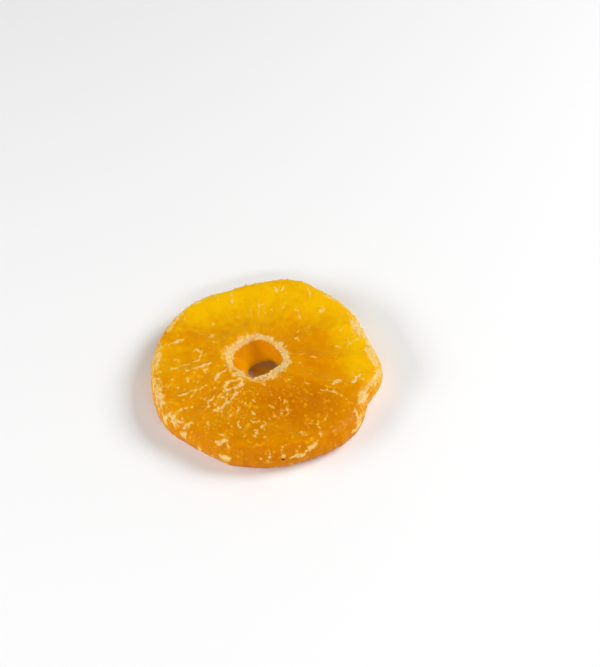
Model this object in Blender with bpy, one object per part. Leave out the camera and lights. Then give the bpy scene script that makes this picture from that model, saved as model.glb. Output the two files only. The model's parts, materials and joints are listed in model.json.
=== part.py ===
"""One candied pineapple ring, lying flat on its underside.

The ring is a slice across a pineapple whose core has been punched out, so it is a disc with a
hole that sits a little off its middle. Drying in syrup has rounded and lobed its outline, sunk
its face into radial folds and left one shoulder sloping down in a wide, soft curve.

Metres, +Z up. The origin is under the middle of the ring's bounding box, on the surface that it
rests on. The folds of the face run outwards from the core.
"""

import math

import bpy

MM = 0.001

# Driving dimensions.
OUTER_RADIUS = 33.4 * MM
HOLE_RADIUS = 7.3 * MM
THICKNESS = 9.5 * MM
CORE_OFFSET = (-4.5 * MM, 1.9 * MM)  # the hole's middle, from the disc's middle, at the face
CORE_SLANT = (6.7 * MM, -0.7 * MM)  # how far the hole drifts sideways on its way down

# Section, measured outwards or upwards.
BULGE_HEIGHT = 0.45 * THICKNESS  # where the outer wall stands out furthest
SHOULDER = 2.3 * MM  # how far the rounded upper edge reaches in from the bulge
FOOT = 2.4 * MM  # the same for the lower edge
HOLE_LIP = 0.9 * MM  # how far the hole's edges flare out from its waist
HOLE_TAPER = 3.2 * MM  # how much narrower the hole is at the underside
DISH_DEPTH = 0.8 * MM  # how far the face sinks between the hole and the rim
LIP_RISE = 0.55 * MM  # how far the crusted lip of the hole stands above the face
LIP_REACH = 0.13  # and how far it reaches, as a share of the way out

# Each row is where a feature is, in degrees anticlockwise from +X, its height and its half-width
# in degrees. Heights are in millimetres.
OUTLINE_LOBES = (
    (-150, 0.7, 14),
    (-124, -1.0, 13),
    (-92, -0.6, 14),
    (-68, -0.7, 14),
    (-42, 0.6, 12),
    (-20, -1.4, 8),
    (-1, 1.4, 10),
    (22, -0.7, 12),
    (42, 0.5, 12),
    (73, 1.4, 13),
    (110, -1.8, 18),
)
HOLE_LOBES = (
    (160, 0.3, 16),
    (92, 0.5, 20),
    (38, -0.5, 22),
    (-10, 0.4, 16),
    (-45, -0.6, 18),
    (-85, 0.4, 14),
    (-130, -1.4, 20),
)
SHOULDER_SLOPES = (
    (-35, 4.6, 22),
    (10, 0.8, 18),
    (-90, 1.7, 26),
    (130, -0.7, 35),
)
EDGE_HEIGHTS = (
    (-35, -1.1, 30),
    (70, 0.5, 30),
    (150, -0.5, 30),
    (-140, -0.6, 22),
    (-92, -0.2, 24),
)
# Radial folds of the face: also where each starts and ends, as shares of the way from the hole
# to the rim. A negative height is a furrow.
FACE_FOLDS = (
    (180, -0.50, 6, 0.15, 1.00),
    (191, 0.50, 4.5, 0.10, 0.85),
    (202, -0.55, 6, 0.10, 0.95),
    (213, 0.60, 5, 0.35, 0.95),
    (222, -0.50, 5, 0.20, 0.90),
    (230, 0.55, 4.5, 0.05, 0.85),
    (239, -0.50, 5, 0.10, 0.90),
    (248, 0.50, 5, 0.08, 0.65),
    (262, -0.35, 8, 0.30, 1.00),
    (279, 0.30, 8, 0.45, 0.85),
    (294, -0.45, 8, 0.20, 0.95),
    (310, 0.40, 7, 0.50, 0.95),
    (326, -0.55, 8, 0.15, 0.75),
    (339, 0.55, 5, 0.35, 0.85),
    (350, -0.50, 6, 0.35, 0.90),
    (3, 0.45, 6, 0.30, 1.00),
    (17, -0.40, 7, 0.20, 0.80),
    (31, 0.40, 6, 0.45, 1.00),
    (46, -0.50, 10, 0.15, 0.85),
    (64, 0.35, 7, 0.40, 1.00),
    (79, -0.30, 8, 0.20, 0.85),
    (93, 0.45, 5, 0.15, 0.90),
    (107, -0.40, 8, 0.25, 0.95),
    (123, 0.45, 6, 0.40, 1.00),
    (138, -0.65, 9, 0.15, 0.85),
    (155, 0.40, 6, 0.30, 0.95),
    (167, -0.25, 5, 0.10, 0.70),
)
LIP_LUMPS = ((9, 0.10), (14, 0.07), (23, 0.05))  # waves round the lip and their height, in mm

# The mesh: a ring of sections, each one a closed loop of points.
SECTIONS = 124
SECTION_POINTS = 38
WALL_TURN = math.radians(45)  # half the turn of each loop that the outer wall takes
HOLE_TURN = math.radians(34)  # half the turn that the hole's wall takes


def bump(distance, half_width):
    """A smooth hump, 1 at its middle, that has faded to a third at its half-width."""
    return math.exp(-((distance / half_width) ** 2))


def degrees_apart(angle, middle):
    return (angle - middle + 180) % 360 - 180


def lobes(angle, rows):
    """The sum of a table's humps at this angle, in metres."""
    return MM * sum(height * bump(degrees_apart(angle, at), wide) for at, height, wide in rows)


def smooth_step(x):
    x = min(1.0, max(0.0, x))
    return x * x * (3 - 2 * x)


def along(share, start, end):
    """1 between start and end, fading out over a tenth of the way at either side."""
    fade = 0.1
    return smooth_step((share - start) / fade + 1) * smooth_step((end - share) / fade + 1)


def face_folds(angle, share):
    return MM * sum(
        height * bump(degrees_apart(angle, at), wide) * along(share, start, end)
        for at, height, wide, start, end in FACE_FOLDS
    )


def lip(angle, share):
    """The raised, lumpy edge of the hole, on the face."""
    lumps = MM * sum(height * math.sin(math.radians(angle * waves)) for waves, height in LIP_LUMPS)
    return (LIP_RISE + lumps) * bump(share, LIP_REACH)


def edge_height(angle):
    """The height of the face where it meets the outer shoulder."""
    return THICKNESS + lobes(angle, EDGE_HEIGHTS)


def face_height(angle, share):
    """The upper face, at a share of the way from the hole to the shoulder."""
    dish = DISH_DEPTH * math.sin(math.pi * share) ** 2
    settled = smooth_step(share / 0.2) * smooth_step((1 - share) / 0.12)
    level = THICKNESS + share * (edge_height(angle) - THICKNESS)
    return level - dish + lip(angle, share) + settled * face_folds(angle, share)


def polar(centre, radius, angle):
    turn = math.radians(angle)
    return centre[0] + radius * math.cos(turn), centre[1] + radius * math.sin(turn)


def hole_point(angle, depth, flare):
    """A point on the hole's wall: depth is 0 at the face and 1 at the underside."""
    centre = [CORE_OFFSET[i] + depth * CORE_SLANT[i] for i in range(2)]
    radius = HOLE_RADIUS - depth * HOLE_TAPER + lobes(angle, HOLE_LOBES) + flare
    return polar(centre, radius, angle)


def rim_point(angle, inset):
    return polar((0, 0), OUTER_RADIUS + lobes(angle, OUTLINE_LOBES) - inset, angle)


def between(inner, outer, share):
    return [a + share * (b - a) for a, b in zip(inner, outer)]


def shoulder(angle):
    return SHOULDER + lobes(angle, SHOULDER_SLOPES)


def on_face(angle, share):
    inner = hole_point(angle, 0, HOLE_LIP)
    outer = rim_point(angle, shoulder(angle))
    return (*between(inner, outer, share), face_height(angle, share))


def on_underside(angle, share):
    inner = hole_point(angle, 1, HOLE_LIP)
    outer = rim_point(angle, FOOT)
    return (*between(inner, outer, share), 0)


def on_outer_wall(angle, turn):
    """turn runs from -1, at the underside, through 0, at the bulge, to 1, at the face."""
    phi = abs(turn) * math.pi / 2
    if turn > 0:
        reach, rise = shoulder(angle), edge_height(angle) - BULGE_HEIGHT
    else:
        reach, rise = FOOT, -BULGE_HEIGHT
    point = rim_point(angle, reach * (1 - math.cos(phi)))
    return (*point, BULGE_HEIGHT + rise * math.sin(phi))


def on_hole_wall(angle, turn):
    """turn runs from -1, at the underside, to 1, at the face. The wall is upright between lips."""
    upright = 0.45
    flare = HOLE_LIP * (1 - max(0.0, math.cos(turn * math.pi / 2)) ** upright)
    top = face_height(angle, 0)
    height = top * (1 + math.sin(turn * math.pi / 2)) / 2
    return (*hole_point(angle, 1 - height / top, flare), height)


def section_point(angle, turn):
    """A point of the ring. turn goes round the section: 0 at the outer wall, pi/2 at the face."""
    face_turn = math.pi - WALL_TURN - HOLE_TURN
    if abs(turn) <= WALL_TURN:
        return on_outer_wall(angle, turn / WALL_TURN)
    if math.pi - abs(turn) <= HOLE_TURN:
        return on_hole_wall(angle, math.copysign((math.pi - abs(turn)) / HOLE_TURN, turn))
    share = (math.pi - HOLE_TURN - abs(turn)) / face_turn
    return on_face(angle, share) if turn > 0 else on_underside(angle, share)


def flesh_material():
    material = bpy.data.materials.new("candied_flesh")
    material.use_nodes = True
    shader = material.node_tree.nodes["Principled BSDF"]
    shader.inputs["Base Color"].default_value = (0.80, 0.35, 0.01, 1)
    shader.inputs["Roughness"].default_value = 0.4
    shader.inputs["Metallic"].default_value = 0.0
    return material


def pineapple_ring(collection):
    """A torus whose every section is drawn out to the slice's own."""
    core_line = (OUTER_RADIUS + HOLE_RADIUS) / 2
    bpy.ops.mesh.primitive_torus_add(
        major_segments=SECTIONS,
        minor_segments=SECTION_POINTS,
        major_radius=core_line,
        minor_radius=THICKNESS / 2,
    )
    ring = bpy.context.object
    ring.name = ring.data.name = "pineapple_ring"
    for vertex in ring.data.vertices:
        x, y, z = vertex.co
        angle = math.degrees(math.atan2(y, x))
        vertex.co = section_point(angle, math.atan2(z, math.hypot(x, y) - core_line))
    centre_on_origin(ring.data)
    ring.data.shade_smooth()
    ring.data.materials.append(flesh_material())
    for holder in ring.users_collection:
        holder.objects.unlink(ring)
    collection.objects.link(ring)
    return ring


def centre_on_origin(mesh):
    """Puts the middle of the mesh's box over the origin."""
    for axis in range(2):
        places = [vertex.co[axis] for vertex in mesh.vertices]
        middle = (min(places) + max(places)) / 2
        for vertex in mesh.vertices:
            vertex.co[axis] -= middle


def main():
    for old in list(bpy.data.objects):
        bpy.data.objects.remove(old)
    collection = bpy.data.collections.new("pineapple_ring")
    bpy.context.scene.collection.children.link(collection)
    pineapple_ring(collection)


main()
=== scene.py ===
"""The looks of the candied pineapple ring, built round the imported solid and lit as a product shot.

The ring's skin is a fine grid wrapped on the solid: stations round the hole, and points round each
station's section. Creases, fibres and dried sugar are raised on the grid, and the same fields go
to the material as attributes. Loose sugar lies on top as real crystals and crumbs.

Metres, +Z up. A place on the ring is (x, y) in millimetres from DATUM, a point in the hole, and an
angle is in degrees anticlockwise from +X about it, seen from above.
"""

import json
import math

import bmesh
import bpy
import numpy as np
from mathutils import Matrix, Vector, noise
from mathutils.bvhtree import BVHTree


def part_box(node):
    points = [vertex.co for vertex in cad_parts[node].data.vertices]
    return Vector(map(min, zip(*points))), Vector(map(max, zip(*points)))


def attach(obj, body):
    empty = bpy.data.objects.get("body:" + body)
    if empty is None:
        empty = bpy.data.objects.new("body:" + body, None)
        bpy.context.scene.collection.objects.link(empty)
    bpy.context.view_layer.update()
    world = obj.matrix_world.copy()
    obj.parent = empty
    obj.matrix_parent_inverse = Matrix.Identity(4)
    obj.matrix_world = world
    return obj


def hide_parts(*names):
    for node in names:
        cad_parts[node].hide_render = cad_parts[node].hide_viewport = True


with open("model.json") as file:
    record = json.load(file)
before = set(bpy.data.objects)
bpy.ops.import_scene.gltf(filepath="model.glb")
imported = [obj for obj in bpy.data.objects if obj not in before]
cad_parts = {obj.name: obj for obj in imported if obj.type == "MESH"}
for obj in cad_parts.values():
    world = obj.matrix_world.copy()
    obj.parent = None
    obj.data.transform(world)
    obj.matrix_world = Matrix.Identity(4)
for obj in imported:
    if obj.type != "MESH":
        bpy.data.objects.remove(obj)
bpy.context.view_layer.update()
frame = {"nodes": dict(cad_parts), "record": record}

MM = 0.001
DATUM = Vector((-3.13, 1.09, 9.5)) * MM

# The grid. A section runs out along the face, down the outer wall, back along the underside and
# up the hole's wall.
STATIONS = 600
FACE_POINTS = 62
WALL_POINTS = 42
UNDER_POINTS = 22
HOLE_POINTS = 34
HOLE_INSET = 5.6 * MM  # from the hole's wall to the line that the section's rays start from
WALL_INSET = 4.5 * MM  # and from the outer wall
STATION_SOFTENING = 14  # passes of smoothing from station to station
POINT_SOFTENING = 10  # and from point to point of a section
MOUTH_AT = 0.74  # the edge of the mouth, as a share of the points up the hole's wall
RIM_AT = 0.25  # the edge of the face, as a share of the points down the outer wall

CLEAR_HEIGHT = 50 * MM  # above every part of the ring
BESIDE_HEIGHT = 6 * MM  # for a place beside the ring

CAMERA_ELEVATION = 50  # degrees
CAMERA_DISTANCE = 0.4596
AIM_RIGHT = 12.84 * MM  # where the camera looks, from DATUM, across and up the picture
AIM_UP = 7.06 * MM

GRAINS = 2600
CRUMBS = 150
SQUIGGLES = 260
SQUIGGLE_SEED = 21
SPECK_PLACE = (8.3, -35.0)
SPECK_SIZE = (0.42, 0.28, 0.14)  # half its length, width and height, in millimetres

# Where dried sugar draws pale lines on the flesh: the points of each line, then its half-width
# in millimetres and its strength.
SUGAR_LINES = (
    # Left of the hole.
    (((-20.5, -4.5), (-16.5, -3.2), (-14.0, -2.2), (-12.0, -2.0)), 0.5, 0.9),
    (((-25.5, -4.2), (-24.0, -3.5), (-22.5, -3.2)), 0.4, 0.7),
    (((-23.5, -14.0), (-20.0, -13.0), (-18.0, -11.5), (-16.5, -11.0)), 0.5, 0.9),
    (((-22.5, -19.5), (-20.0, -18.0), (-18.0, -17.2)), 0.5, 0.8),
    (((-19.0, -15.5), (-17.5, -12.5)), 0.3, 0.7),
    (((-13.5, -16.5), (-12.8, -15.0), (-11.5, -14.0)), 0.5, 0.9),
    (((-21.5, -25.0), (-19.0, -24.0), (-17.0, -23.5)), 0.45, 1.0),
    (((-26.0, 5.0), (-24.0, 6.5), (-21.5, 7.5)), 0.5, 0.8),
    (((-19.0, 3.0), (-17.5, 4.0), (-16.0, 2.5), (-16.5, 0.0), (-18.5, -0.5)), 0.5, 0.8),
    (((-13.5, 10.0), (-12.5, 8.5)), 0.6, 0.9),
    (((-26.0, -22.0), (-26.0, -20.0), (-24.5, -19.5), (-23.0, -21.0), (-22.5, -23.5)), 0.8, 1.0),
    # Below the hole.
    (((-8.5, -5.0), (-10.1, -5.8), (-11.5, -7.1), (-12.2, -8.8)), 0.6, 0.9),
    (((-8.6, -9.0), (-5.9, -8.5), (-4.1, -8.2), (-3.8, -9.9), (-5.3, -11.2)), 0.6, 0.95),
    (((-5.3, -11.2), (-7.0, -11.1), (-8.4, -11.0), (-8.6, -9.2)), 0.6, 0.95),
    (((-8.2, -11.2), (-8.0, -12.8), (-8.6, -14.5)), 0.5, 0.9),
    (((-10.0, -18.0), (-8.5, -16.0), (-6.5, -14.6), (-4.8, -12.5)), 0.5, 0.95),
    (((9.0, -17.2), (9.6, -19.8)), 0.5, 0.8),
    (((-7.2, -33.0), (-6.8, -34.2)), 0.5, 0.9),
    # Above the hole.
    (((0.2, 24.0), (0.6, 19.0), (0.8, 14.5)), 0.35, 0.65),
    (((-8.0, 25.5), (-7.5, 23.0), (-7.8, 20.5)), 0.6, 0.7),
    (((5.2, 28.5), (5.8, 25.5)), 0.6, 0.8),
    (((7.8, 28.0), (7.2, 26.0)), 0.5, 0.8),
    (((15.0, 27.5), (15.6, 25.0), (15.8, 22.5)), 0.5, 0.7),
    (((18.6, 19.8), (19.8, 20.0), (20.0, 18.6), (18.8, 18.4), (18.5, 19.6)), 0.45, 0.8),
    (((19.5, 24.2), (22.4, 22.7)), 0.7, 0.7),
    # Right of the hole.
    (((6.1, 2.7), (7.8, 5.6)), 0.7, 1.0),
    (((8.2, 3.5), (9.5, 4.8)), 0.6, 0.9),
    (((12.5, 8.8), (11.6, 7.4)), 0.5, 0.8),
    (((23.2, 5.2), (24.6, 4.4)), 0.5, 0.8),
    (((24.5, 10.2), (26.8, 12.4)), 0.35, 0.8),
    (((26.8, 4.5), (28.0, 6.4), (31.2, 7.5)), 0.5, 0.65),
    (((31.5, 4.0), (33.5, 1.0), (34.8, -3.0)), 0.8, 0.9),
    (((22.2, -9.2), (23.5, -8.2), (24.8, -7.7)), 0.9, 0.9),
    (((28.0, -8.5), (29.0, -7.2), (30.2, -5.8)), 0.8, 0.9),
    (((17.5, -10.0), (21.0, -11.3), (24.5, -12.8), (27.0, -15.5), (27.3, -17.5)), 0.5, 0.62),
    (((28.3, -17.0), (29.2, -19.5)), 0.7, 0.8),
    (((30.3, -20.0), (31.2, -23.0), (31.0, -26.0)), 1.0, 1.0),
    (((19.8, -22.5), (21.3, -19.0)), 0.5, 0.6),
    (((10.0, -34.0), (13.0, -32.3), (16.5, -30.2), (18.8, -27.5)), 0.8, 0.9),
    (((18.8, -27.5), (18.2, -24.5), (17.8, -22.0)), 0.5, 0.6),
)
# Patches of sugar: each one's middle, its radius in millimetres and its strength.
SUGAR_PATCHES = (
    ((-27.5, -13.5), 3.0, 1.0),
    ((-28.2, -18.5), 2.2, 0.9),
    ((-29.5, -6.0), 2.4, 0.7),
    ((-24.3, -25.0), 2.2, 0.65),
    ((-17.5, -27.6), 1.9, 0.9),
    ((-15.0, -28.6), 2.0, 0.65),
    ((-13.2, -31.0), 2.4, 0.50),
    ((5.5, -27.0), 3.2, 0.5),
    ((2.5, -24.0), 1.8, 0.6),
    ((-2.5, -36.0), 1.3, 0.9),
    ((4.0, -37.5), 1.5, 1.1),
    ((7.5, -2.8), 1.4, 1.0),
    ((5.2, -5.8), 1.6, 1.0),
    ((1.8, -8.4), 1.7, 1.0),
    ((9.5, -2.5), 2.4, 0.7),
    ((13.0, -1.5), 1.0, 0.8),
    ((18.0, -1.0), 0.8, 0.8),
    ((29.3, 12.8), 2.6, 1.2),
    ((27.0, 16.5), 1.6, 0.8),
    ((25.2, 16.8), 1.2, 0.9),
    ((33.0, 6.0), 2.2, 0.9),
    ((33.6, -10.5), 2.0, 0.9),
    ((31.0, -12.5), 2.4, 0.8),
    ((33.0, -14.0), 2.0, 0.9),
)
MOUTH_WIDTH = 1.7  # of the crust round the hole's mouth, in millimetres, where it is narrowest
# Where that crust is wider: (angle, millimetres more, half-width of the stretch in degrees).
MOUTH_WIDTHS = (
    (185, 1.1, 28),
    (135, 0.9, 30),
    (75, 0.1, 20),
    (15, 0.5, 25),
    (-75, 0.8, 30),
    (-130, 2.0, 25),
)
# The crust along the rim, where the stretches at 126 and 152 degrees are also a painted rim
# highlight: (angle, how far down the wall it lies and its half-width in millimetres, its strength,
# half-width of the stretch in degrees).
RIM_STRETCHES = (
    (180, -0.2, 2.8, 1.10, 20),
    (204, 0.0, 3.2, 1.25, 15),
    (224, -0.3, 2.2, 1.00, 9),
    (152, -0.6, 1.9, 1.20, 16),
    (126, -0.4, 1.2, 1.15, 16),
    (100, -0.2, 0.9, 0.95, 14),
    (68, -0.5, 1.0, 0.95, 18),
    (44, -0.6, 1.6, 1.20, 12),
    (22, -1.0, 2.6, 1.50, 12),
    (4, -0.8, 2.3, 1.30, 12),
    (-10, 0.6, 2.2, 1.20, 9),
    (-22, 0.6, 2.2, 1.30, 9),
    (-33, 2.2, 1.3, 1.10, 7),
    (-45, 2.2, 1.0, 0.50, 8),
)
# The noises of the skin: each one's name, the size of its lumps in millimetres, its seed and how
# many octaves it has.
SKIN_NOISES = (
    ("broad", 6.0, 2, 2),
    ("panels", 5.0, 4, 2),
    ("uneven", 2.2, 8, 2),
    ("pits", 1.6, 5, 2),
    ("ragged", 1.1, 1, 3),
    ("lumps", 0.8, 6, 2),
)
# Where the flesh is deeper or, below 0, paler in colour, partly its own tone and partly painted
# light: painted glow at the right rim and painted shade on the near side. Middle, radius in
# millimetres, how much.
TONE_AND_PAINTED_LIGHT_PATCHES = (
    ((5.0, -14.0), 9.0, 0.18),
    ((16.0, -15.0), 9.0, 0.22),
    ((2.0, -33.0), 8.0, 0.08),
    ((-22.0, -16.0), 8.0, -0.10),
    ((13.0, 8.0), 9.0, 0.16),
    ((20.0, 1.0), 6.0, 0.10),
    ((-9.0, 16.0), 5.0, 0.10),
    ((-18.0, 8.0), 5.0, 0.08),
    ((-14.0, 21.0), 8.0, -0.16),
    ((29.0, 8.0), 7.0, -0.40),
    ((31.0, -4.0), 6.0, -0.30),
    ((22.0, 20.0), 6.0, -0.12),
    ((-30.0, 0.0), 6.0, -0.15),
    ((22.0, -27.0), 7.0, 0.05),
)


def bump(distance, reach):
    """A smooth hump, 1 at its middle, that has faded to a third at its reach."""
    return np.exp(-((distance / reach) ** 2))


def step(x, start, end):
    """0 before start, 1 after end, and smooth between them."""
    share = np.clip((x - start) / (end - start), 0, 1)
    return share * share * (3 - 2 * share)


def turns_apart(angles, middle):
    return (angles - middle + 180) % 360 - 180


def widths(angles, base, rows):
    """A width that changes round the ring, in metres."""
    total = np.full(angles.shape, float(base))
    for middle, more, half_width in rows:
        total += more * bump(turns_apart(angles, middle), half_width)
    return np.maximum(total, 0.05) * MM


def noise_at(points, size, seed, octaves=3):
    """Smooth noise of about -1 to 1 at these points, with lumps of about this size."""
    shift = Vector((3.7, 9.1, 5.3)) * seed
    values = [noise.fractal(Vector(p) / size + shift, 0.9, 2.1, octaves) for p in points]
    return np.array(values)


def radial_places(outward, radius, around, along):
    """Where to read noise so that its lumps are drawn out from the hole towards the rim. around is
    how fast it changes round the ring, and along how fast it changes on the way out."""
    return np.stack([outward[:, 0] * around, outward[:, 1] * around, radius * along], axis=1)


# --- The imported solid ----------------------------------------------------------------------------


def solid_tree():
    node = frame["nodes"]["pineapple_ring"]
    corners = [v.co for v in node.data.vertices]
    faces = [tuple(p.vertices) for p in node.data.polygons]
    return BVHTree.FromPolygons(corners, faces)


def hit(tree, start, direction):
    place = tree.ray_cast(start, direction)[0]
    if place is None:
        raise RuntimeError("a ray missed the packed solid")
    return place


def hole_axis():
    """A point inside the hole, half way up, that every section's plane passes through."""
    low, high = frame["record"]["physics"]["openings"][0]["box_m"]
    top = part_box("pineapple_ring")[1].z
    return Vector(((low[0] + high[0]) / 2, (low[1] + high[1]) / 2, top / 2))


def section(tree, axis, turn):
    """The points of one section, by rays from a line inside the flesh."""
    out = Vector((math.cos(turn), math.sin(turn), 0))
    up = Vector((0, 0, 1))
    inner = hit(tree, axis, out) + HOLE_INSET * out
    outer = hit(tree, inner, out) - WALL_INSET * out
    rays = []
    for i in range(FACE_POINTS):
        rays.append((inner.lerp(outer, (i + 0.5) / FACE_POINTS), up))
    for i in range(WALL_POINTS):
        tilt = math.pi * (0.5 - (i + 0.5) / WALL_POINTS)
        rays.append((outer, out * math.cos(tilt) + up * math.sin(tilt)))
    for i in range(UNDER_POINTS):
        rays.append((outer.lerp(inner, (i + 0.5) / UNDER_POINTS), -up))
    for i in range(HOLE_POINTS):
        tilt = math.pi * ((i + 0.5) / HOLE_POINTS - 0.5)
        rays.append((inner, up * math.sin(tilt) - out * math.cos(tilt)))
    return [hit(tree, start, direction) for start, direction in rays]


# --- The grid ------------------------------------------------------------------------------------


def smoothed(grid, along, passes):
    """Softens the grid along one of its two directions, which both close on themselves."""
    for _ in range(passes):
        grid = (np.roll(grid, 1, along) + 2 * grid + np.roll(grid, -1, along)) / 4
    return grid


def grid_normals(grid):
    """The outward normal and the area of skin at each point."""
    across = np.roll(grid, -1, 0) - np.roll(grid, 1, 0)
    around = np.roll(grid, -1, 1) - np.roll(grid, 1, 1)
    normals = np.cross(around, across).reshape(-1, 3)
    areas = np.linalg.norm(normals, axis=1)
    return normals / areas[:, None], areas


def wrapped_grid(tree, axis):
    """The solid's surface as an array of stations by section points."""
    turns = [2 * math.pi * k / STATIONS for k in range(STATIONS)]
    grid = np.array([[tuple(p) for p in section(tree, axis, turn)] for turn in turns])
    return smoothed(smoothed(grid, 0, STATION_SOFTENING), 1, POINT_SOFTENING)


def distance_from_point(grid, index):
    """How far each point is from its own section's point of this index, signed, along the skin."""
    steps = np.linalg.norm(np.roll(grid, -1, 1) - grid, axis=2)
    run = np.cumsum(steps, axis=1)
    total = run[:, -1:]
    along = run - run[:, index : index + 1]
    return (along + total / 2) % total - total / 2


# --- Where the sugar is --------------------------------------------------------------------------


def on_skin(tree, place):
    """The point of the upper skin at this place, or the nearest point of it to a place beside."""
    start = Vector((DATUM.x + place[0] * MM, DATUM.y + place[1] * MM, CLEAR_HEIGHT))
    found = tree.ray_cast(start, Vector((0, 0, -1)))[0]
    if found is None:
        found = tree.find_nearest(Vector((start.x, start.y, BESIDE_HEIGHT)))[0]
    return np.array(found)


def squiggles():
    """Short curved wrinkles of sugar, mostly running outwards, as more rows like SUGAR_LINES's.
    Their pale lines are partly a painted highlight that stands for glints on the wrinkles' ridges.
    Half of them are round the near left, where the flesh is creased the most."""
    rng = np.random.default_rng(SQUIGGLE_SEED)
    rows = []
    for _ in range(SQUIGGLES):
        middle = 235 if rng.random() < 0.5 else rng.uniform(0, 360)
        turn = math.radians(middle + rng.normal(0, 35))
        place = rng.uniform(11, 34) * np.array([math.cos(turn), math.sin(turn)])
        heading = turn + rng.normal(0, 0.5)
        bend = rng.normal(0, 0.7)
        reach = rng.uniform(0.3, 1.1)
        line = [tuple(place)]
        for k in range(3):
            along = heading + bend * k
            place = place + reach * np.array([math.cos(along), math.sin(along)])
            line.append(tuple(place))
        rows.append((line, rng.uniform(0.25, 0.5), rng.uniform(0.30, 0.75)))
    return rows


def line_field(points, line, half_width):
    """1 along a line, fading to the sides. The line is drawn thinner towards both of its ends."""
    lengths = [np.linalg.norm(end - start) for start, end in zip(line, line[1:])]
    total = sum(lengths)
    field = np.zeros(len(points))
    before = 0.0
    for start, end, length in zip(line, line[1:], lengths):
        span = end - start
        share = np.clip((points - start) @ span / (span @ span), 0, 1)
        distance = np.linalg.norm(points - start - share[:, None] * span, axis=1)
        along = (before + share * length) / total
        wide = half_width * (0.45 + 0.55 * np.sin(math.pi * along))
        field = np.maximum(field, bump(distance, wide))
        before += length
    return field


def sugar_marks(points, tree, uneven):
    """The strength of the lines and patches at each point. Each has a thin, wider haze, and all
    of them wander a little from where the tables put them."""
    wander = [noise_at(points, 1.3 * MM, 20 + axis, 2) for axis in range(3)]
    points = points + 0.45 * MM * np.stack(wander, axis=1)
    field = np.zeros(len(points))
    for places, half_width, strength in [*SUGAR_LINES, *squiggles()]:
        line = [on_skin(tree, place) for place in places]
        wide = half_width * MM * (1 + 0.7 * uneven)
        thin = 1.45 * strength * line_field(points, line, 1.25 * wide)
        field = np.maximum(field, np.minimum(thin, 1.15))
        field = np.maximum(field, 0.55 * strength * line_field(points, line, 2.6 * wide))
    for place, radius, strength in SUGAR_PATCHES:
        distance = np.linalg.norm(points - on_skin(tree, place), axis=1)
        field = np.maximum(field, 0.7 * strength * bump(distance, radius * MM))
    return field


def creases(points, outward, radius, angles):
    """A broken net of fine wrinkles where sugar has dried, thickest on the near side. Its pale lines
    are partly a painted highlight on the wrinkles' ridges.
    """
    folds = noise_at(radial_places(outward, radius, 9 * MM, 0.45), 1.5 * MM, 14, 2)
    broken = step(noise_at(points, 2.6 * MM, 15, 2), -0.1, 0.5)
    near = 0.35 + 0.65 * bump(turns_apart(angles, 245), 65)
    return 1.15 * bump(folds, 0.28) * broken * near * step(radius, 9 * MM, 13 * MM)


def sugar_bands(grid, angles, uneven):
    """The strength of the crusts round the hole's mouth and along the rim, at each point, and how
    far outwards along the skin the point is from the edge of the mouth. In places the rim's crust is
    a painted rim highlight."""
    mouth_corner = FACE_POINTS + WALL_POINTS + UNDER_POINTS + int(MOUTH_AT * HOLE_POINTS)
    rim_corner = FACE_POINTS + int(RIM_AT * WALL_POINTS)
    outwards = distance_from_point(grid, mouth_corner).ravel()
    wide = widths(angles, MOUTH_WIDTH, MOUTH_WIDTHS) * (1 + 0.6 * uneven)
    mouth = step(outwards, -0.9 * MM, -0.3 * MM) * (1 - step(outwards, 0.4 * wide, 1.8 * wide))
    down_wall = distance_from_point(grid, rim_corner).ravel()
    turns = np.radians(angles)
    round_rim = np.stack([5 * MM * np.cos(turns), 5 * MM * np.sin(turns), down_wall], axis=1)
    streaks = noise_at(round_rim, 0.7 * MM, 10, 2)
    rim = np.zeros(len(down_wall))
    for middle, down, half_width, strength, stretch in RIM_STRETCHES:
        here = strength * bump(turns_apart(angles, middle), stretch)
        wide = half_width * MM * (1 + 0.5 * uneven)
        rim = np.maximum(rim, here * bump(down_wall - down * MM, wide))
    return mouth, rim * (0.95 + 0.60 * streaks), outwards


# --- Meshes --------------------------------------------------------------------------------------


def mesh_piece(name, points, faces, material, smooth=True):
    mesh = bpy.data.meshes.new(name)
    mesh.from_pydata(points.tolist(), [], faces.tolist())
    mesh.polygons.foreach_set("use_smooth", [smooth] * len(mesh.polygons))
    mesh.materials.append(material)
    piece = bpy.data.objects.new(name, mesh)
    bpy.context.scene.collection.objects.link(piece)
    return piece


def add_attribute(piece, name, values):
    attribute = piece.data.attributes.new(name, "FLOAT", "POINT")
    attribute.data.foreach_set("value", values.astype(np.float32))


def grid_faces(stations, points):
    """Quads between neighbouring stations and section points, with both directions closed."""
    index = np.arange(stations * points).reshape(stations, points)
    next_station = np.roll(index, -1, 0)
    corners = [index, next_station, np.roll(next_station, -1, 1), np.roll(index, -1, 1)]
    return np.stack(corners, axis=-1).reshape(-1, 4)


def skin_places(grid):
    """The place, normal, area and polar place of each of the grid's points."""
    normals, areas = grid_normals(grid)
    points = grid.reshape(-1, 3)
    across = points[:, :2] - np.array(DATUM)[:2]
    radius = np.linalg.norm(across, axis=1)
    return {
        "points": points,
        "normals": normals,
        "areas": areas,
        "across": across,
        "radius": radius,
        "outward": across / radius[:, None],
        "angles": np.degrees(np.arctan2(across[:, 1], across[:, 0])),
        "under": step(-normals[:, 2], 0.5, 0.95),
    }


def skin_noises(at):
    """The patterns that the sugar, the relief and the colour share. The streaks run outwards, and
    are fainter near the hole."""
    found = {}
    for name, size, seed, octaves in SKIN_NOISES:
        found[name] = noise_at(at["points"], size * MM, seed, octaves)
    places = radial_places(at["outward"], at["radius"], 15 * MM, 0.35)
    fading = 0.3 + 0.7 * step(at["radius"], 9 * MM, 18 * MM)
    found["streaks"] = noise_at(places, 0.9 * MM, 9, 2) * fading
    return found


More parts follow.
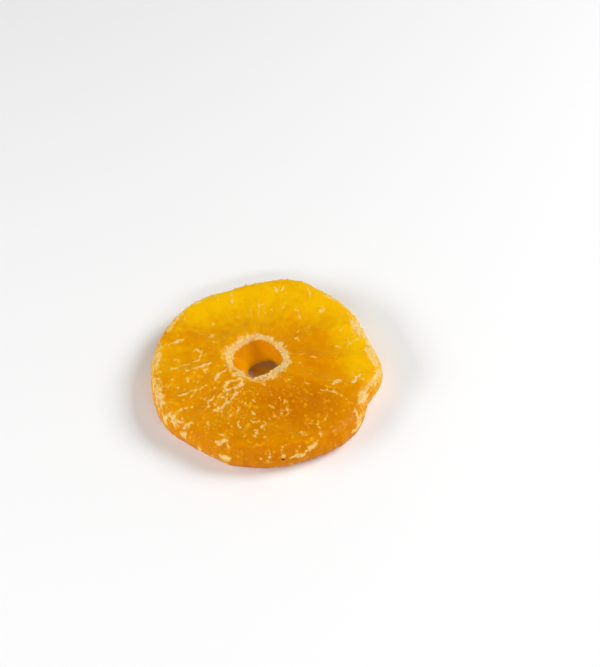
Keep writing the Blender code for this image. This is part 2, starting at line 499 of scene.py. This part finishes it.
def crust_field(at, noises, marks):
    """How thick the dried sugar lies at each point, from 0 to 1, including the painted highlights
    that the rim's crust and the wrinkles carry. Besides the crusts and the marks there is a thin
    haze, thickest on the near left and thinnest on the near shoulder."""
    wrinkles = creases(at["points"], at["outward"], at["radius"], at["angles"])
    marks = np.maximum(marks, wrinkles * (at["shown"] + 1.6 * at["under"]))
    strength = np.maximum(at["mouth_crust"], np.maximum(at["rim_crust"], marks))
    haze = 0.20 + 0.22 * noises["broad"] + 0.16 * bump(turns_apart(at["angles"], 225), 50)
    haze *= 1 - 0.8 * step(-at["normals"][:, 1], 0.15, 0.45)
    strength = np.maximum(strength, haze * (at["shown"] + at["under"]))
    ragged = noises["ragged"] * (1 - 0.6 * bump(at["outwards"], 5 * MM))
    crust = step(strength + 0.40 * ragged * (0.3 + strength), 0.25, 1.15)
    return crust * (0.90 + 0.10 * at["mouth_crust"])


def glint_field(at, noises, crust):
    """Painted glints: bright yellow highlights painted into the colour where no sugar lies, most of
    them on the near side.
    """
    glints = 0.6 * noises["streaks"] + 0.7 * noise_at(at["points"], 0.9 * MM, 7, 2)
    glints += 0.3 * noises["broad"]
    creased = 0.35 + 0.65 * bump(turns_apart(at["angles"], 265), 75)
    upwards = step(at["normals"][:, 2], 0.2, 0.7)
    return 0.8 * creased * step(glints, 0.15, 0.95) * upwards * (1 - crust)


def raised_points(at, noises, crust, painted_glints):
    """The points with the relief on them. The underside is only hollowed, upwards from the plane
    that the ring lies on."""
    relief = 0.10 * noises["panels"] + 0.03 * noises["pits"]
    relief += 0.05 * noises["streaks"]
    relief += 0.06 * painted_glints
    relief += crust * (0.18 + 0.32 * noises["lumps"])
    on_wall = (1 - step(np.abs(at["normals"][:, 2]), 0.35, 0.8)) * (at["outwards"] > 12 * MM)
    folds = noise_at(radial_places(at["outward"], at["radius"], 26 * MM, 0.2), 2.6 * MM, 16, 3)
    relief -= 0.40 * step(folds, -0.1, 0.6) * on_wall
    keep_flat = step(at["points"][:, 2], 0.0, 1.2 * MM)
    moved = at["points"] + at["normals"] * (MM * relief * keep_flat)[:, None]
    moved[:, 2] = np.maximum(moved[:, 2], 0)
    hollows = 0.30 * step(noises["panels"], -0.2, 0.8) + 0.12 * step(noises["streaks"], -0.1, 0.6)
    moved[:, 2] += MM * at["under"] * hollows
    return moved


def depth_field(at, noises):
    """How deep the flesh's colour is, from 0, yellow at the far side, to 1, dark orange. It is
    partly the flesh's own tone and partly painted light and shade.
    """
    outside = 1 - at["in_hole"]
    # Partly painted light: the far side is painted yellower and the near side deeper, as if lit from
    # behind, on top of the flesh's own tone.
    depth = 0.40 - 0.30 * step(at["across"][:, 1], 5 * MM, 24 * MM)
    depth += 0.18 * step(-at["across"][:, 1], 2 * MM, 16 * MM)
    for place, reach, more in TONE_AND_PAINTED_LIGHT_PATCHES:
        away = np.linalg.norm(at["across"] - np.array(place) * MM, axis=1)
        depth += more * bump(away, reach * MM)
    mottled = noise_at(radial_places(at["outward"], at["radius"], 12 * MM, 0.5), 1.3 * MM, 12, 2)
    depth += 0.07 * noises["panels"] + 0.08 * noises["streaks"] + 0.09 * mottled
    # Painted shade: faces turned towards the near side are painted deeper.
    depth += 0.10 * step(-at["normals"][:, 1], 0.2, 0.6) * outside
    # Deeper towards the foot of the outer wall, next to the floor.
    foot = 1 - step(at["points"][:, 2], 0.3 * MM, 4.5 * MM)
    depth += 0.32 * foot * outside * (1 - at["under"])
    return np.clip(depth, 0, 1)


def build_ring(tree, axis, material):
    """Makes the skin, and returns it with what the loose sugar needs to lie on it."""
    grid = wrapped_grid(tree, axis)
    at = skin_places(grid)
    noises = skin_noises(at)
    mouth_crust, rim_crust, outwards = sugar_bands(grid, at["angles"], noises["uneven"])
    at.update(mouth_crust=mouth_crust, rim_crust=rim_crust, outwards=outwards)
    down_the_hole = step(-outwards, 0.7 * MM, 1.6 * MM) * (outwards > -13 * MM)
    at["in_hole"] = down_the_hole * (1 - at["under"])
    at["shown"] = step(at["normals"][:, 2], -0.75, -0.35) * (1 - at["in_hole"])
    crust = crust_field(at, noises, sugar_marks(at["points"], tree, noises["uneven"]))
    # Painted glints: yellow highlights painted into the colour, each also raised a little.
    painted_glints = glint_field(at, noises, crust)
    moved = raised_points(at, noises, crust, painted_glints)

    ring = mesh_piece("ring_skin", moved, grid_faces(*grid.shape[:2]), material)
    add_attribute(ring, "crust", crust)
    add_attribute(ring, "painted_glints", painted_glints)
    add_attribute(ring, "depth", depth_field(at, noises))
    add_attribute(ring, "in_hole", at["in_hole"])
    add_attribute(ring, "down_hole", step(-outwards, 1.5 * MM, 9 * MM))
    return ring, {**at, "points": moved, "crust": crust}


# --- Loose sugar ---------------------------------------------------------------------------------


def ball(subdivisions):
    """A unit ball's corners and triangles."""
    shape = bmesh.new()
    bmesh.ops.create_icosphere(shape, subdivisions=subdivisions, radius=1)
    corners = np.array([v.co for v in shape.verts])
    faces = np.array([[v.index for v in f.verts] for f in shape.faces])
    shape.free()
    return corners, faces


def random_turns(rng, count):
    """Rotation matrices, from random quaternions."""
    q = rng.normal(size=(count, 4))
    w, x, y, z = (q / np.linalg.norm(q, axis=1, keepdims=True)).T
    rows = [
        [1 - 2 * (y * y + z * z), 2 * (x * y - w * z), 2 * (x * z + w * y)],
        [2 * (x * y + w * z), 1 - 2 * (x * x + z * z), 2 * (y * z - w * x)],
        [2 * (x * z - w * y), 2 * (y * z + w * x), 1 - 2 * (x * x + y * y)],
    ]
    return np.array(rows).transpose(2, 0, 1)


def scatter(name, skin, weights, count, sizes, subdivisions, rough, seed, material):
    """Uneven balls of these sizes on the skin, more of them where the weights are high."""
    rng = np.random.default_rng(seed)
    chance = weights * skin["areas"]
    chosen = rng.choice(len(chance), size=count, p=chance / chance.sum())
    size = rng.uniform(*sizes, size=count) * MM / 2
    lift = rng.uniform(-0.5, 0.3, size=count) * size
    middle = skin["points"][chosen] + skin["normals"][chosen] * lift[:, None]
    corners, faces = ball(subdivisions)
    uneven = 1 + rough * rng.normal(size=(count, len(corners), 1)).clip(-2, 2)
    stretched = corners * uneven * rng.uniform(0.65, 1.2, size=(count, 1, 3))
    turned = np.einsum("nij,nkj->nki", random_turns(rng, count), stretched)
    places = turned * size[:, None, None] + middle[:, None]
    all_faces = faces[None] + len(corners) * np.arange(count)[:, None, None]
    return mesh_piece(name, places.reshape(-1, 3), all_faces.reshape(-1, 3), material, False)


def build_sugar(skin, material):
    """Crystals over the thick crust, and bigger crumbs round the hole's mouth."""
    crust = skin["crust"] ** 3 * skin["shown"]
    thick = crust * (0.25 + np.maximum(skin["mouth_crust"], skin["rim_crust"]))
    grains = scatter("sugar_grains", skin, thick, GRAINS, (0.10, 0.22), 1, 0.1, 11, material)
    near_mouth = bump(skin["outwards"] - 0.7 * MM, 1.3 * MM) * crust
    lower_right = 0.05 + bump(turns_apart(skin["angles"], -35), 55)
    spread = near_mouth * lower_right + 0.01 * crust
    crumbs = scatter("sugar_crumbs", skin, spread, CRUMBS, (0.45, 0.95), 2, 0.12, 12, material)
    return grains, crumbs


def build_speck(tree, material):
    """The tiny dark scrap of peel on the near shoulder."""
    place = Vector(on_skin(tree, SPECK_PLACE))
    normal = tree.find_nearest(place)[1]
    corners, faces = ball(2)
    rng = np.random.default_rng(13)
    uneven = 1 + 0.1 * rng.normal(size=(len(corners), 1))
    corners *= np.array(SPECK_SIZE) * MM * uneven
    turn = np.array(normal.to_track_quat("Z", "Y").to_matrix())
    points = corners @ turn.T + np.array(place + 0.1 * MM * normal)
    return mesh_piece("dark_speck", points, faces, material)


# --- Materials -----------------------------------------------------------------------------------

# Colours picked on screen, 0 to 255, each after its place on the ramp.
FLESH_COLOURS = (
    (0.15, (243, 189, 4)),
    (0.55, (225, 149, 0)),
    (1.0, (201, 113, 0)),
)
SUGAR_COLOURS = (
    (0.10, (242, 190, 50)),
    (0.35, (240, 190, 60)),
    (0.70, (245, 208, 128)),
    (1.0, (248, 220, 160)),
)


def linear(red, green, blue):
    """A colour picked on screen, 0 to 255, as a shader wants it."""
    shares = []
    for level in (red, green, blue):
        shares.append(((level / 255 + 0.055) / 1.055) ** 2.4 if level > 10 else level / 3295)
    return (*shares, 1)


def new_material(name):
    material = bpy.data.materials.new(name)
    material.use_nodes = True
    return material, material.node_tree.nodes, material.node_tree.links


def feed(links, socket, value):
    """Links an output to a socket, or sets a plain value on it."""
    if isinstance(value, bpy.types.NodeSocket):
        links.new(value, socket)
    else:
        socket.default_value = value


def noise_output(nodes, links, place, scale, detail, roughness):
    node = nodes.new("ShaderNodeTexNoise")
    node.inputs["Scale"].default_value = scale
    node.inputs["Detail"].default_value = detail
    node.inputs["Roughness"].default_value = roughness
    links.new(place, node.inputs["Vector"])
    return node.outputs["Fac"]


def scaled_sum(nodes, links, value, times, plus):
    """value x times + plus."""
    node = nodes.new("ShaderNodeMath")
    node.operation = "MULTIPLY_ADD"
    for socket, term in zip(node.inputs, (value, times, plus)):
        feed(links, socket, term)
    return node.outputs[0]


def mapped(nodes, links, value, start, end, smooth_over=None):
    """start to end as value goes from 0 to 1, or smoothly, as it goes over smooth_over's range."""
    node = nodes.new("ShaderNodeMapRange")
    node.inputs["To Min"].default_value = start
    node.inputs["To Max"].default_value = end
    if smooth_over:
        node.interpolation_type = "SMOOTHSTEP"
        node.inputs["From Min"].default_value = smooth_over[0]
        node.inputs["From Max"].default_value = smooth_over[1]
    links.new(value, node.inputs["Value"])
    return node.outputs["Result"]


def ramp(nodes, links, value, colours):
    """Colours along value: rows of a place and a colour picked on screen, the lowest first."""
    node = nodes.new("ShaderNodeValToRGB")
    stops = node.color_ramp.elements
    for stop, (place, colour) in zip(stops, (colours[0], colours[-1])):
        stop.position = place
        stop.color = linear(*colour)
    for place, colour in colours[1:-1]:
        stops.new(place).color = linear(*colour)
    links.new(value, node.inputs["Fac"])
    return node.outputs["Color"]


def mixed(nodes, links, share, first, second):
    """first where share is 0, and second where it is 1."""
    node = nodes.new("ShaderNodeMix")
    node.data_type = "RGBA"
    links.new(share, node.inputs["Factor"])
    colours = [socket for socket in node.inputs if socket.type == "RGBA"]
    feed(links, colours[0], first)
    feed(links, colours[1], second)
    return next(socket for socket in node.outputs if socket.type == "RGBA")


def bumped(nodes, links, height, strength, distance, base=None):
    """The normal of a bump, which can lie on the normal of another."""
    node = nodes.new("ShaderNodeBump")
    node.inputs["Strength"].default_value = strength
    node.inputs["Distance"].default_value = distance
    links.new(height, node.inputs["Height"])
    if base:
        links.new(base, node.inputs["Normal"])
    return node.outputs["Normal"]


def flesh_material():
    """Clear amber flesh, under dried sugar where the skin's crust attribute says. A fine grain
    breaks up the sugar's edge, and the sugar is yellow where it is thin. The colour also holds
    painted light: painted glints, painted light and shade in the flesh's tone, and a painted glow
    down the hole's wall."""
    material, nodes, links = new_material("candied_flesh")
    shader = nodes["Principled BSDF"]
    shader.inputs["Subsurface Radius"].default_value = (0.85, 0.5, 0.12)
    shader.inputs["Subsurface Scale"].default_value = 3.6 * MM
    shader.inputs["Specular IOR Level"].default_value = 0.04

    place = nodes.new("ShaderNodeTexCoord").outputs["Object"]
    fields = {}
    for name in ("depth", "crust", "painted_glints", "in_hole", "down_hole"):
        field = nodes.new("ShaderNodeAttribute")
        field.attribute_name = name
        fields[name] = field.outputs["Fac"]
    mottle = noise_output(nodes, links, place, 450, 4, 0.5)
    grain = noise_output(nodes, links, place, 1600, 3, 0.6)

    # The tone field carries the flesh's own tone along with painted light and shade into the colour
    # ramp.
    depth = scaled_sum(nodes, links, mottle, 0.22, fields["depth"])
    flesh = ramp(nodes, links, depth, FLESH_COLOURS)
    # Painted light: the hole's wall is painted brighter and yellower towards its foot, as a painted
    # glow of light through the flesh.
    wall = mixed(nodes, links, fields["down_hole"], linear(224, 144, 0), linear(255, 188, 0))
    flesh = mixed(nodes, links, fields["in_hole"], flesh, wall)
    crumbly = scaled_sum(nodes, links, grain, 1.5, fields["crust"])
    cover = mapped(nodes, links, crumbly, 0, 0.92, smooth_over=(0.76, 1.95))
    colour = mixed(nodes, links, cover, flesh, ramp(nodes, links, cover, SUGAR_COLOURS))
    # The painted glints: a bright yellow highlight painted into the base colour.
    colour = mixed(nodes, links, fields["painted_glints"], colour, linear(252, 200, 25))
    links.new(colour, shader.inputs["Base Color"])

    links.new(mapped(nodes, links, cover, 0.6, 0.1), shader.inputs["Subsurface Weight"])
    links.new(mapped(nodes, links, cover, 0.28, 0.62), shader.inputs["Roughness"])
    soft = bumped(nodes, links, mottle, 0.15, 0.15 * MM)
    fine = bumped(nodes, links, grain, 0.35, 0.06 * MM, base=soft)
    links.new(fine, shader.inputs["Normal"])
    return material


def sugar_material():
    material, nodes, _ = new_material("sugar")
    shader = nodes["Principled BSDF"]
    shader.inputs["Base Color"].default_value = linear(240, 204, 138)
    shader.inputs["Roughness"].default_value = 0.35
    shader.inputs["Subsurface Weight"].default_value = 0.4
    shader.inputs["Subsurface Radius"].default_value = (1.0, 0.8, 0.5)
    shader.inputs["Subsurface Scale"].default_value = 0.4 * MM
    return material


def speck_material():
    material, nodes, _ = new_material("dark_peel")
    shader = nodes["Principled BSDF"]
    shader.inputs["Base Color"].default_value = linear(34, 9, 4)
    shader.inputs["Roughness"].default_value = 0.9
    shader.inputs["Specular IOR Level"].default_value = 0.1
    return material


# --- The stage -----------------------------------------------------------------------------------


def area_light(name, place, size, power):
    """A soft lamp that is aimed at the ring."""
    data = bpy.data.lights.new(name, "AREA")
    data.shape = "RECTANGLE"
    data.size, data.size_y = size
    data.energy = power
    lamp = bpy.data.objects.new(name, data)
    lamp.location = place
    lamp.rotation_euler = (-Vector(place)).to_track_quat("-Z", "Y").to_euler()
    bpy.context.scene.collection.objects.link(lamp)


def build_stage():
    """A white floor, and a world that is lit up to 33 degrees above the horizon and dark from 43
    up, with three soft lamps."""
    bpy.ops.mesh.primitive_plane_add(size=4, location=(0, 0, -0.02 * MM))
    floor = bpy.context.object
    floor.name = "floor"
    material, nodes, _ = new_material("white_paper")
    nodes["Principled BSDF"].inputs["Base Color"].default_value = (0.95, 0.95, 0.95, 1)
    nodes["Principled BSDF"].inputs["Roughness"].default_value = 0.9
    floor.data.materials.append(material)

    world = bpy.data.worlds.new("studio")
    bpy.context.scene.world = world
    world.use_nodes = True
    nodes, links = world.node_tree.nodes, world.node_tree.links
    direction = nodes.new("ShaderNodeSeparateXYZ")
    links.new(nodes.new("ShaderNodeTexCoord").outputs["Generated"], direction.inputs[0])
    band = nodes.new("ShaderNodeMapRange")
    band.interpolation_type = "SMOOTHSTEP"
    band.inputs["From Min"].default_value = math.sin(math.radians(33))
    band.inputs["From Max"].default_value = math.sin(math.radians(43))
    band.inputs["To Min"].default_value = 0.45
    band.inputs["To Max"].default_value = 0.0
    links.new(direction.outputs["Z"], band.inputs["Value"])
    links.new(band.outputs["Result"], nodes["Background"].inputs["Strength"])
    nodes["Background"].inputs["Color"].default_value = (1, 1, 1, 1)

    area_light("key", (0.60, 0.15, 0.55), (0.4, 0.4), 5.0)
    area_light("side", (-0.62, -0.20, 0.34), (0.5, 0.2), 2.8)
    area_light("front", (0.10, -0.58, 0.47), (0.6, 0.1), 1.6)


def build_camera():
    """The photograph's camera: 50 degrees up, with the ring left of and below its middle."""
    elevation = math.radians(CAMERA_ELEVATION)
    ahead = Vector((0, math.cos(elevation), -math.sin(elevation)))
    above = Vector((0, math.sin(elevation), math.cos(elevation)))
    aim = DATUM + AIM_RIGHT * Vector((1, 0, 0)) + AIM_UP * above
    data = bpy.data.cameras.new("camera")
    data.lens = 85
    data.sensor_width = 36
    camera = bpy.data.objects.new("camera", data)
    camera.location = aim - CAMERA_DISTANCE * ahead
    camera.rotation_euler = ahead.to_track_quat("-Z", "Y").to_euler()
    bpy.context.scene.collection.objects.link(camera)
    bpy.context.scene.camera = camera
    bpy.context.scene.view_settings.view_transform = "Standard"


def main():
    tree = solid_tree()
    axis = hole_axis()
    ring, skin = build_ring(tree, axis, flesh_material())
    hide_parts("pineapple_ring")
    grains, crumbs = build_sugar(skin, sugar_material())
    speck = build_speck(tree, speck_material())
    for piece in (ring, grains, crumbs, speck):
        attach(piece, "root")
    build_stage()
    build_camera()


main()
